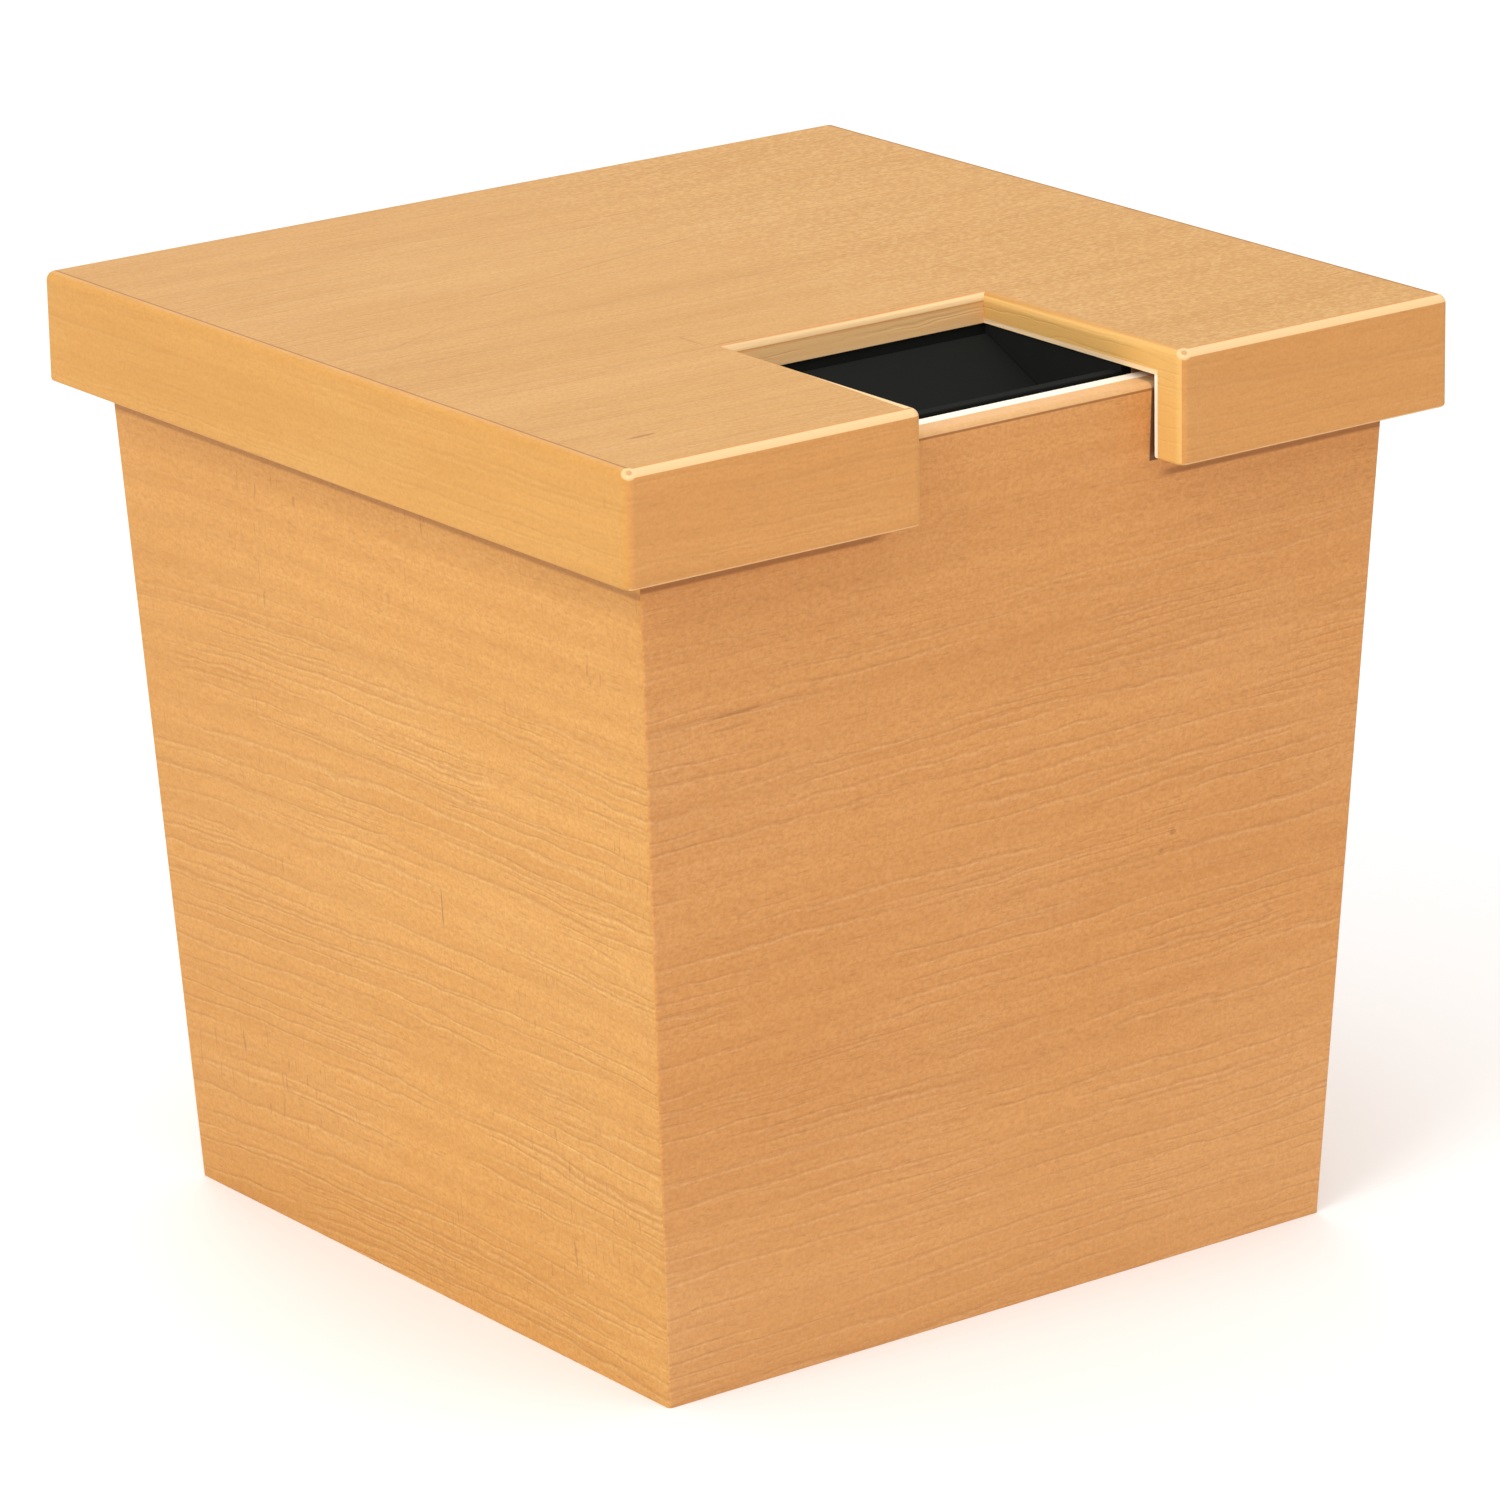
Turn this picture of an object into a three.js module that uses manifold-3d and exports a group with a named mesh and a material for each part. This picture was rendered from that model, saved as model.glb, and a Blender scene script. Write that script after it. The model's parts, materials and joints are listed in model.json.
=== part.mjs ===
// Donation box: a wooden box that widens upwards, under a square lift-off lid.
// The lid is notched at the middle of its front edge. Money dropped into the notch
// falls through a black baffled chute that hangs from the lid board, and a cam lock
// in the rear wall holds the lid down by a keeper.
// Millimetres, +Z up, front towards -Y, origin on the table under the lid's centre.

import * as THREE from "three";
import { mergeVertices } from "three/addons/utils/BufferGeometryUtils.js";
import Module from "manifold-3d";

const wasm = await Module();
wasm.setup();

// ---------------------------------------------------------------- driving dimensions

// Lid
const LID_SIZE = 300;
const BOARD_THICKNESS = 9;
const SKIRT_DROP = 25.2;
const SKIRT_THICKNESS = 12;
const LID_CORNER_RADIUS = 3;
const LID_TOP_ARRIS = 2.8;
const SKIRT_ARRIS = 1;
const NOTCH_WIDTH = 94;
const NOTCH_DEPTH = 91;

// Body
const BODY_HEIGHT = 279;
const WALL_THICKNESS = 12;
const WALL_LEAN = THREE.MathUtils.degToRad(2.88);
const BODY_CORNER_RADIUS = 1.2;
const WALL_TOP_ARRIS = 2;
const BASE_THICKNESS = 9;
const CLEAT_SIZE = 12;
const REST_PAD_THICKNESS = 2.5;
const REST_PAD_RADIUS = 4.5;
const REST_PAD_SPACING = 190;

// Chute
const CHUTE_PLATE = 4;
const CHUTE_DROP = 70;
const CHUTE_SETBACK = 1;
const CHUTE_SCREW_SPACING = 0.56;
const BAFFLE_THICKNESS = 3;
const BAFFLE_SLOPE = THREE.MathUtils.degToRad(25);
const BAFFLE_REACH = 0.68;
const UPPER_BAFFLE_DEPTH = 0.5;
const BAFFLE_PITCH = 27;

// Screws
const SCREW_RADIUS = 1.7;
const SCREW_HEAD_RADIUS = 3.6;
const SCREW_HEAD_HEIGHT = 2.2;
const SCREW_SLOT = 0.8;
const CAM_SCREW_HEAD_RADIUS = 5.5;
const SCREW_HEAD_EDGE = 1;
const BASE_SCREW_LENGTH = 18;
const CHUTE_SCREW_BITE = 2.5;
const KEEPER_SCREW_LENGTH = 8.5;

// Lock, measured from the rear wall's outer face
const LOCK_BELOW_TOP = 43;
const LOCK_RADIUS = 9;
const LOCK_FLANGE_RADIUS = 11.5;
const LOCK_FLANGE_HEIGHT = 2;
const LOCK_TAIL = 9;
const LOCK_NUT_ACROSS = 24;
const LOCK_NUT_HEIGHT = 5;
const PLUG_RADIUS = 6;
const PLUG_SQUARE = 7;
const KEYWAY = { width: 1.6, height: 7.5, depth: 9 };
const CAM_THICKNESS = 2;
const CAM_WIDTH = 14;
const CAM_REACH = 28;

// Keeper
const KEEPER_THICKNESS = 2.5;
const KEEPER_WIDTH = 12;
const KEEPER_FLANGE = 24;
const KEEPER_LIP = 14;
const KEEPER_SCREW_SHARES = [0.35, 0.8];

// Clearances
const LID_CLEARANCE = 0.6;
const JOINT_GAP = 0.3;
const RUNNING_GAP = 0.3;
const WALL_TO_CHUTE = 4;
const CAM_TO_LIP = 1.5;
const CAM_TO_LEG = 2;
const SCREW_HEAD_CLEARANCE = 0.45;

// ---------------------------------------------------------------- dependent sizes

const LID_HALF = LID_SIZE / 2;
const NOTCH_HALF = NOTCH_WIDTH / 2;
const NOTCH_BACK = -LID_HALF + NOTCH_DEPTH;
const SKIRT_INNER = LID_HALF - SKIRT_THICKNESS;
const BOARD_UNDERSIDE = BODY_HEIGHT + REST_PAD_THICKNESS;
const LID_TOP = BOARD_UNDERSIDE + BOARD_THICKNESS;
const SKIRT_BOTTOM = BOARD_UNDERSIDE - SKIRT_DROP;
const BODY_TOP_HALF = SKIRT_INNER - LID_CLEARANCE;
const BASE_TOP = CLEAT_SIZE + BASE_THICKNESS;
const ARC_STEPS = 6;
const TURNED_STEPS = 48;
const SCREW_STEPS = 20;
const LEAST_RADIUS = 0.2;

const QUARTER = Math.PI / 2;

// ---------------------------------------------------------------- finishes

const FINISHES = {
  wood: { color: "#d9a05f", roughness: 0.5, metalness: 0 },
  panel: { color: "#c9a577", roughness: 0.7, metalness: 0 },
  chute: { color: "#151515", roughness: 0.8, metalness: 0 },
  felt: { color: "#3b3a38", roughness: 1, metalness: 0 },
  steel: { color: "#b9bcbe", roughness: 0.35, metalness: 1 },
  lock: { color: "#c8c9ca", roughness: 0.2, metalness: 1 },
  blackSteel: { color: "#1d1d1e", roughness: 0.5, metalness: 1 },
};

function piece(name, geometry, finish) {
  const mesh = new THREE.Mesh(geometry, new THREE.MeshStandardMaterial(FINISHES[finish]));
  mesh.name = name;
  return mesh;
}

// ---------------------------------------------------------------- solids

// Turns a closed three.js geometry into a solid that can be joined and cut.
function toSolid(geometry) {
  const bare = geometry.clone();
  bare.deleteAttribute("normal");
  bare.deleteAttribute("uv");
  const merged = mergeVertices(bare);
  const corners = merged.index.array;
  const kept = [];
  for (let i = 0; i < corners.length; i += 3) {
    const [a, b, c] = corners.slice(i, i + 3);
    if (a !== b && b !== c && c !== a) {
      kept.push(a, b, c);
    }
  }
  const mesh = new wasm.Mesh({
    numProp: 3,
    vertProperties: new Float32Array(merged.attributes.position.array),
    triVerts: new Uint32Array(kept),
  });
  return new wasm.Manifold(mesh);
}

function toGeometry(solid) {
  const { vertProperties, triVerts } = solid.getMesh();
  const geometry = new THREE.BufferGeometry();
  geometry.setAttribute("position", new THREE.BufferAttribute(vertProperties, 3));
  geometry.setIndex(new THREE.BufferAttribute(triVerts, 1));
  return geometry;
}

// Cuts each cutter out of a geometry.
function cut(geometry, cutters) {
  let solid = toSolid(geometry);
  for (const cutter of cutters) {
    solid = solid.subtract(toSolid(cutter));
  }
  return toGeometry(solid);
}

// Skins closed outlines with equal numbers of points, from the lowest to the highest.
function loft(rings) {
  const count = rings[0].outline.length;
  const positions = rings.flatMap(({ z, outline }) => outline.flatMap((p) => [p.x, p.y, z]));
  const faces = [];
  for (let level = 0; level < rings.length - 1; level++) {
    for (let i = 0; i < count; i++) {
      const a = level * count + i;
      const b = level * count + ((i + 1) % count);
      faces.push(a, b, b + count, a, b + count, a + count);
    }
  }
  const top = (rings.length - 1) * count;
  for (const [a, b, c] of THREE.ShapeUtils.triangulateShape(rings[0].outline, [])) {
    faces.push(c, b, a);
  }
  for (const [a, b, c] of THREE.ShapeUtils.triangulateShape(rings.at(-1).outline, [])) {
    faces.push(top + a, top + b, top + c);
  }
  const geometry = new THREE.BufferGeometry();
  geometry.setAttribute("position", new THREE.Float32BufferAttribute(positions, 3));
  geometry.setIndex(faces);
  return geometry;
}

// A box between two opposite corners.
function block(low, high) {
  const size = high.map((value, i) => value - low[i]);
  const geometry = new THREE.BoxGeometry(...size);
  return geometry.translate(...low.map((value, i) => value + size[i] / 2));
}

// ---------------------------------------------------------------- outlines

function point(x, y) {
  return new THREE.Vector2(x, y);
}

// Points of an arc in the XY plane, from one angle to another in radians.
function arc(x, y, radius, from, to, steps = ARC_STEPS) {
  const points = [];
  for (let i = 0; i <= steps; i++) {
    const angle = from + ((to - from) * i) / steps;
    points.push(point(x + radius * Math.cos(angle), y + radius * Math.sin(angle)));
  }
  return points;
}

// Turns an outline about the Z axis by whole quarter turns, without rounding.
function quarterTurn(outline, quarters) {
  let turned = outline;
  for (let i = 0; i < quarters; i++) {
    turned = turned.map((p) => point(-p.y, p.x));
  }
  return turned;
}

function mirrored(outline) {
  return outline.map((p) => point(-p.x, p.y)).reverse();
}

// The end of a mitred side on the diagonal x = y, with half of a rounded corner.
function mitredEnd(outer, inner, radius) {
  const centre = outer - radius;
  const diagonal = centre + radius * Math.SQRT1_2;
  const rounding = arc(-centre, -centre, radius, 2.5 * QUARTER, 3 * QUARTER, ARC_STEPS / 2);
  return [point(-inner, -inner), point(-diagonal, -diagonal), ...rounding.slice(1)];
}

// Plan of the front side of a mitred square frame.
function frameSide(outer, inner, radius) {
  const left = mitredEnd(outer, inner, radius);
  return [...left, ...mirrored(left)];
}

// A lid corner's radius where the outline is drawn in; an arris may be wider than the corner.
function lidCorner(inset) {
  return Math.max(LID_CORNER_RADIUS - inset, LEAST_RADIUS);
}

// Plan of the front rail's left half, which ends at the notch.
function notchedSide(inset) {
  const radius = lidCorner(inset);
  const outer = LID_HALF - inset;
  const end = NOTCH_HALF + inset;
  const rounding = arc(-end - radius, radius - outer, radius, 3 * QUARTER, 4 * QUARTER);
  return [...mitredEnd(outer, SKIRT_INNER, radius), ...rounding, point(-end, -SKIRT_INNER)];
}

// Plan of the lid board, drawn in from its edges by an inset.
function boardOutline(inset) {
  const radius = lidCorner(inset);
  const centre = LID_HALF - inset - radius;
  const notchCentre = NOTCH_HALF + inset + radius;
  return [
    ...arc(-centre, -centre, radius, 2 * QUARTER, 3 * QUARTER),
    ...arc(-notchCentre, -centre, radius, 3 * QUARTER, 4 * QUARTER),
    point(-NOTCH_HALF - inset, NOTCH_BACK + inset),
    point(NOTCH_HALF + inset, NOTCH_BACK + inset),
    ...arc(notchCentre, -centre, radius, 2 * QUARTER, 3 * QUARTER),
    ...arc(centre, -centre, radius, 3 * QUARTER, 4 * QUARTER),
    ...arc(centre, centre, radius, 0, QUARTER),
    ...arc(-centre, centre, radius, QUARTER, 2 * QUARTER),
  ];
}

// Heights and insets of a quarter-round arris that ends at a height; side is 1 for a
// top arris and -1 for a bottom one.
function arris(end, radius, side) {
  const steps = [];
  for (let i = 0; i <= ARC_STEPS; i++) {
    const angle = (QUARTER * i) / ARC_STEPS;
    const z = end - side * radius * (1 - Math.sin(angle));
    steps.push({ z, inset: radius * (1 - Math.cos(angle)) });
  }
  return side > 0 ? steps : steps.reverse();
}

// ---------------------------------------------------------------- body

function outerHalf(z) {
  return BODY_TOP_HALF - (BODY_HEIGHT - z) * Math.tan(WALL_LEAN);
}

function innerHalf(z) {
  return outerHalf(z) - WALL_THICKNESS;
}

function wall(quarters) {
  const levels = [{ z: 0, inset: 0 }, ...arris(BODY_HEIGHT, WALL_TOP_ARRIS, 1)];
  return loft(
    levels.map(({ z, inset }) => {
      const plan = frameSide(outerHalf(z) - inset, innerHalf(z), BODY_CORNER_RADIUS);
      return { z, outline: quarterTurn(plan, quarters) };
    }),
  );
}

// A square plate whose edges lean with the walls that it fits between.
function fittedPlate(bottom, top) {
  return loft(
    [bottom, top].map((z) => {
      const half = innerHalf(z) - JOINT_GAP;
      const corner = point(-half, -half);
      return { z, outline: [0, 1, 2, 3].map((turn) => quarterTurn([corner], turn)[0]) };
    }),
  );
}

// Front and rear cleats run the full width, and the side cleats fit between them.
function baseCleat(quarters) {
  const isSide = quarters % 2 === 1;
  return loft(
    [0, CLEAT_SIZE].map((z) => {
      const outer = innerHalf(z) - JOINT_GAP;
      const inner = outer - CLEAT_SIZE;
      const end = isSide ? innerHalf(0) - JOINT_GAP - CLEAT_SIZE - JOINT_GAP : outer;
      const plan = [point(-end, -outer), point(end, -outer), point(end, -inner), point(-end, -inner)];
      return { z, outline: quarterTurn(plan, quarters) };
    }),
  );
}

// ---------------------------------------------------------------- screws

// A slotted countersunk screw along +Y: its head's face lies at y = 0, its tip below.
function screw(length) {
  const profile = [
    point(0, -length),
    point(SCREW_RADIUS / 2, -length + SCREW_RADIUS),
    point(SCREW_RADIUS, -length + 2 * SCREW_RADIUS),
    point(SCREW_RADIUS, -SCREW_HEAD_HEIGHT),
    point(SCREW_HEAD_RADIUS, 0),
    point(0, 0),
  ];
  const slotHalf = SCREW_SLOT / 2;
  const reach = SCREW_HEAD_RADIUS + 1;
  const slot = block([-reach, -SCREW_SLOT, -slotHalf], [reach, 1, slotHalf]);
  return cut(new THREE.LatheGeometry(profile, SCREW_STEPS), [slot]);
}

// The room that a screw takes, with a clearance all round.
function screwHole(length) {
  const shank = SCREW_RADIUS + RUNNING_GAP;
  const head = SCREW_HEAD_RADIUS + SCREW_HEAD_CLEARANCE;
  const profile = [
    point(0, -length - RUNNING_GAP),
    point(shank, -length - RUNNING_GAP),
    point(shank, -SCREW_HEAD_HEIGHT - RUNNING_GAP),
    point(head, 0),
    point(head, 1),
    point(0, 1),
  ];
  return new THREE.LatheGeometry(profile, SCREW_STEPS);
}

// A screw's place: where the middle of its head's face lies, and the way the head faces.
function screwPlace(position, facing) {
  const turn = new THREE.Quaternion();
  turn.setFromUnitVectors(new THREE.Vector3(0, 1, 0), new THREE.Vector3(...facing));
  const place = new THREE.Matrix4();
  return place.compose(new THREE.Vector3(...position), turn, new THREE.Vector3(1, 1, 1));
}

function placedScrew(name, length, place, finish) {
  const mesh = piece(name, screw(length), finish);
  mesh.applyMatrix4(place);
  return mesh;
}

function holesAt(length, places) {
  return places.map((place) => screwHole(length).applyMatrix4(place));
}

// ---------------------------------------------------------------- box body

const SIDES = ["front", "right", "rear", "left"];

// One screw at the middle of each cleat, down through the base panel.
const BASE_SCREW_PLACES = SIDES.map((side, quarters) => {
  const inset = innerHalf(CLEAT_SIZE) - JOINT_GAP - CLEAT_SIZE / 2;
  const [middle] = quarterTurn([point(0, -inset)], quarters);
  return screwPlace([middle.x, middle.y, BASE_TOP], [0, 0, 1]);
});

function buildBase() {
  const group = new THREE.Group();
  const holes = holesAt(BASE_SCREW_LENGTH, BASE_SCREW_PLACES);
  const panel = cut(fittedPlate(CLEAT_SIZE, BASE_TOP), holes);
  group.add(piece("base_panel", panel, "panel"));
  SIDES.forEach((side, quarters) => {
    const cleat = cut(baseCleat(quarters), [holes[quarters]]);
    group.add(piece(`base_cleat_${side}`, cleat, "wood"));
    const place = BASE_SCREW_PLACES[quarters];
    group.add(placedScrew(`base_screw_${side}`, BASE_SCREW_LENGTH, place, "steel"));
  });
  return group;
}

function buildWalls() {
  const group = new THREE.Group();
  SIDES.forEach((side, quarters) => {
    const shape = wall(quarters);
    const cutters = side === "rear" ? [lockHole()] : [];
    group.add(piece(`wall_${side}`, cut(shape, cutters), "wood"));
  });
  return group;
}

function buildRestPads() {
  const group = new THREE.Group();
  const across = BODY_TOP_HALF - (WALL_THICKNESS + WALL_TOP_ARRIS) / 2;
  const corners = { front_left: [-1, -1], front_right: [1, -1], rear_left: [-1, 1], rear_right: [1, 1] };
  for (const [corner, [x, y]] of Object.entries(corners)) {
    const pad = rod(REST_PAD_RADIUS, -REST_PAD_THICKNESS / 2, REST_PAD_THICKNESS / 2);
    const mesh = piece(`lid_rest_pad_${corner}`, pad, "felt");
    mesh.rotation.x = QUARTER;
    mesh.position.set(x * across, (y * REST_PAD_SPACING) / 2, BODY_HEIGHT + REST_PAD_THICKNESS / 2);
    group.add(mesh);
  }
  return group;
}

// ---------------------------------------------------------------- lock

const LOCK_Z = BODY_HEIGHT - LOCK_BELOW_TOP;
const LOCK_Y = outerHalf(LOCK_Z);
const WALL_DEPTH = WALL_THICKNESS * Math.cos(WALL_LEAN);
const TAIL_END = -WALL_DEPTH - LOCK_TAIL;
const CAM_FRONT = TAIL_END - RUNNING_GAP;
const CAM_BACK = CAM_FRONT - CAM_THICKNESS;
const PLUG_END = CAM_BACK - RUNNING_GAP;

// The lock's own frame: +Y out of the rear wall at right angles, +Z up along it.
function lockFrame() {
  const frame = new THREE.Group();
  frame.position.set(0, LOCK_Y, LOCK_Z);
  frame.rotation.x = -WALL_LEAN;
  frame.updateMatrix();
  return frame;
}

function rod(radius, from, to, segments = TURNED_STEPS) {
  const geometry = new THREE.CylinderGeometry(radius, radius, to - from, segments);
  return geometry.translate(0, (from + to) / 2, 0);
}

function lockHole() {
  const clear = LOCK_RADIUS + JOINT_GAP;
  return rod(clear, -2 * WALL_THICKNESS, WALL_THICKNESS).applyMatrix4(lockFrame().matrix);
}

function lockHousing() {
  const flangeBack = JOINT_GAP;
  const flangeFront = flangeBack + LOCK_FLANGE_HEIGHT;
  const edge = LOCK_FLANGE_HEIGHT / 2;
  const bore = PLUG_RADIUS + RUNNING_GAP;
  const profile = [
    point(bore, TAIL_END),
    point(LOCK_RADIUS, TAIL_END),
    point(LOCK_RADIUS, flangeBack),
    point(LOCK_FLANGE_RADIUS, flangeBack),
    ...arc(LOCK_FLANGE_RADIUS - edge, flangeFront - edge, edge, 0, QUARTER, 3),
    point(bore + edge / 2, flangeFront),
    point(bore, flangeFront - edge / 2),
    point(bore, TAIL_END),
  ];
  return new THREE.LatheGeometry(profile, TURNED_STEPS);
}

function lockNut() {
  const hexagon = arc(0, 0, LOCK_NUT_ACROSS / Math.sqrt(3), 0, (5 / 3) * Math.PI, 5);
  const shape = new THREE.Shape(hexagon);
  const steps = TURNED_STEPS - 1;
  const lastAngle = (2 * Math.PI * steps) / TURNED_STEPS;
  shape.holes.push(new THREE.Path(arc(0, 0, LOCK_RADIUS + JOINT_GAP, 0, lastAngle, steps)));
  const nut = new THREE.ExtrudeGeometry(shape, { depth: LOCK_NUT_HEIGHT, bevelEnabled: false });
  return nut.rotateX(QUARTER).translate(0, -WALL_DEPTH - JOINT_GAP, 0);
}

// The plug ends in a square that carries the cam, and takes the cam screw in its end.
function lockPlug() {
  const front = JOINT_GAP + LOCK_FLANGE_HEIGHT;
  const half = PLUG_SQUARE / 2;
  const square = block([-half, PLUG_END, -half], [half, TAIL_END, half]);
  const plug = toGeometry(toSolid(rod(PLUG_RADIUS, TAIL_END, front)).add(toSolid(square)));
  const { width, height, depth } = KEYWAY;
  const keyway = block([-width / 2, front - depth, -height / 2], [width / 2, front + 1, height / 2]);
  const screwBore = rod(SCREW_RADIUS + RUNNING_GAP, PLUG_END - 1, PLUG_END + LOCK_TAIL - 1, SCREW_STEPS);
  return cut(plug, [keyway, screwBore]);
}

function lockCam() {
  const end = CAM_WIDTH / 2;
  const tip = arc(0, CAM_REACH - end, end, 0, 2 * QUARTER, SCREW_STEPS);
  const heel = arc(0, 0, end, 2 * QUARTER, 4 * QUARTER, SCREW_STEPS);
  const shape = new THREE.Shape([...tip, ...heel]);
  const hole = PLUG_SQUARE / 2 + RUNNING_GAP;
  shape.holes.push(new THREE.Path(arc(0, 0, hole * Math.SQRT2, QUARTER / 2, 3.5 * QUARTER, 3)));
  const cam = new THREE.ExtrudeGeometry(shape, { depth: CAM_THICKNESS, bevelEnabled: false });
  return cam.rotateX(QUARTER).translate(0, CAM_FRONT, 0);
}

// A round-headed screw along -Y into the plug's end.
function camScrew() {
  const head = PLUG_END - RUNNING_GAP;
  const radius = CAM_SCREW_HEAD_RADIUS;
  const face = head - SCREW_HEAD_HEIGHT;
  const profile = [
    point(0, face),
    point(radius - SCREW_HEAD_EDGE, face),
    point(radius, face + SCREW_HEAD_EDGE),
    point(radius, head),
    point(SCREW_RADIUS, head),
    point(SCREW_RADIUS, PLUG_END + LOCK_TAIL - 2),
    point(0, PLUG_END + LOCK_TAIL - 2),
  ];
  const slotHalf = SCREW_SLOT / 2;
  const slot = block([-radius - 1, face - 1, -slotHalf], [radius + 1, face + SCREW_SLOT, slotHalf]);
  return cut(new THREE.LatheGeometry(profile, SCREW_STEPS), [slot]);
}

function buildLock() {
  const group = lockFrame();
  group.add(piece("lock_housing", lockHousing(), "lock"));
  group.add(piece("lock_nut", lockNut(), "steel"));
  group.add(piece("lock_plug", lockPlug(), "lock"));
  group.add(piece("lock_cam", lockCam(), "steel"));
  group.add(piece("cam_screw", camScrew(), "steel"));
  return group;
}

// ---------------------------------------------------------------- lid

function lidBoard() {
  const levels = [{ z: BOARD_UNDERSIDE, inset: 0 }, ...arris(LID_TOP, LID_TOP_ARRIS, 1)];
  return loft(levels.map(({ z, inset }) => ({ z, outline: boardOutline(inset) })));
}

// A skirt rail from a plan that depends on how far its outer faces are drawn in.
function rail(plan) {
  const levels = [...arris(SKIRT_BOTTOM, SKIRT_ARRIS, -1), { z: BOARD_UNDERSIDE, inset: 0 }];
  return loft(levels.map(({ z, inset }) => ({ z, outline: plan(inset) })));
}

function fullRailPlan(quarters) {
  return (inset) => {
    const plan = frameSide(LID_HALF - inset, SKIRT_INNER, lidCorner(inset));
    return quarterTurn(plan, quarters);
  };
}

function buildSkirt() {
  const group = new THREE.Group();
  const plans = {
    front_left: notchedSide,
    front_right: (inset) => mirrored(notchedSide(inset)),
    right: fullRailPlan(1),
    rear: fullRailPlan(2),
    left: fullRailPlan(3),
  };
  for (const [side, plan] of Object.entries(plans)) {
    group.add(piece(`lid_rail_${side}`, rail(plan), "wood"));
  }
  return group;
}

// ---------------------------------------------------------------- chute

const CHUTE_SIDE = NOTCH_HALF + CHUTE_SETBACK;
const CHUTE_BACK = NOTCH_BACK + CHUTE_SETBACK;
const CHUTE_FRONT = -innerHalf(BODY_HEIGHT) + WALL_TO_CHUTE;
const CHUTE_BOTTOM = BOARD_UNDERSIDE - CHUTE_DROP;
const CHUTE_DEPTH = CHUTE_BACK - CHUTE_FRONT - CHUTE_PLATE;
const CLEAT_BOTTOM = BOARD_UNDERSIDE - CLEAT_SIZE;
const CHUTE_SCREW_Z = BOARD_UNDERSIDE - CLEAT_SIZE / 2;
const CHUTE_SCREW_LENGTH = CLEAT_SIZE + CHUTE_SCREW_BITE;

// Two screws through each cleat into its plate, from outside, so that the chute stays smooth.
function chuteScrewPlaces(side) {
  const middle = (CHUTE_FRONT + CHUTE_BACK) / 2;
  const head = CHUTE_PLATE + CLEAT_SIZE;
  return [-1, 1].map((step) => {
    if (side === "rear") {
      const x = step * NOTCH_HALF * CHUTE_SCREW_SPACING;
      return screwPlace([x, CHUTE_BACK + head, CHUTE_SCREW_Z], [0, 1, 0]);
    }
    const across = side === "left" ? -1 : 1;
    const y = middle + (step * CHUTE_DEPTH * CHUTE_SCREW_SPACING) / 2;
    return screwPlace([across * (CHUTE_SIDE + head), y, CHUTE_SCREW_Z], [across, 0, 0]);
  });
}

// An upright plate or cleat that lies between two distances from the chute's centre plane.
function besideChute(side, near, far, depth, height) {
  const x = side === "left" ? [-far, -near] : [near, far];
  return block([x[0], depth[0], height[0]], [x[1], depth[1], height[1]]);
}

// The two side plates run the chute's full depth; front and rear plates fit between them.
function chutePlate(side) {
  const z = [CHUTE_BOTTOM, BOARD_UNDERSIDE];
  if (side === "front") {
    const front = CHUTE_FRONT;
    return block([-CHUTE_SIDE, front, z[0]], [CHUTE_SIDE, front + CHUTE_PLATE, BODY_HEIGHT]);
  }
  if (side === "rear") {
    return block([-CHUTE_SIDE, CHUTE_BACK, z[0]], [CHUTE_SIDE, CHUTE_BACK + CHUTE_PLATE, z[1]]);
  }
  const depth = [CHUTE_FRONT, CHUTE_BACK + CHUTE_PLATE];
  return besideChute(side, CHUTE_SIDE, CHUTE_SIDE + CHUTE_PLATE, depth, z);
}

function chuteCleat(side) {
  const outer = CHUTE_SIDE + CHUTE_PLATE;
  const back = CHUTE_BACK + CHUTE_PLATE;
  const z = [CLEAT_BOTTOM, BOARD_UNDERSIDE];
  if (side === "rear") {
    return block([-outer, back, z[0]], [outer, back + CLEAT_SIZE, z[1]]);
  }
  return besideChute(side, outer, outer + CLEAT_SIZE, [CHUTE_FRONT, back], z);
}

// A sloping plate across the chute. It starts at the front or the rear plate and
// stops short of the other, so that money slides off its lower edge.
function baffle(startsAtFront, depth) {
  const slope = startsAtFront ? BAFFLE_SLOPE : -BAFFLE_SLOPE;
  const run = CHUTE_DEPTH * BAFFLE_REACH;
  const length = run / Math.cos(BAFFLE_SLOPE);
  const width = 2 * (CHUTE_SIDE - JOINT_GAP);
  const lean = BAFFLE_THICKNESS * Math.sin(BAFFLE_SLOPE);
  const start = startsAtFront
    ? CHUTE_FRONT + CHUTE_PLATE + JOINT_GAP + lean
    : CHUTE_BACK - JOINT_GAP - lean;
  const mesh = new THREE.BoxGeometry(width, length, BAFFLE_THICKNESS);
  mesh.translate(0, (startsAtFront ? 1 : -1) * (length / 2), -BAFFLE_THICKNESS / 2);
  mesh.rotateX(-slope);
  return mesh.translate(0, start, BODY_HEIGHT - depth);
}

function buildChute() {
  const group = new THREE.Group();
  for (const side of ["left", "right", "rear"]) {
    const places = chuteScrewPlaces(side);
    const holes = holesAt(CHUTE_SCREW_LENGTH, places);
    group.add(piece(`chute_plate_${side}`, cut(chutePlate(side), holes), "chute"));
    group.add(piece(`chute_cleat_${side}`, cut(chuteCleat(side), holes), "wood"));
    places.forEach((place, i) => {
      group.add(placedScrew(`chute_screw_${side}_${i + 1}`, CHUTE_SCREW_LENGTH, place, "blackSteel"));
    });
  }
  group.add(piece("chute_plate_front", chutePlate("front"), "chute"));
  group.add(piece("baffle_upper", baffle(false, UPPER_BAFFLE_DEPTH), "chute"));
  group.add(piece("baffle_lower", baffle(true, UPPER_BAFFLE_DEPTH + BAFFLE_PITCH), "chute"));
  return group;
}

// ---------------------------------------------------------------- keeper

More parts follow.
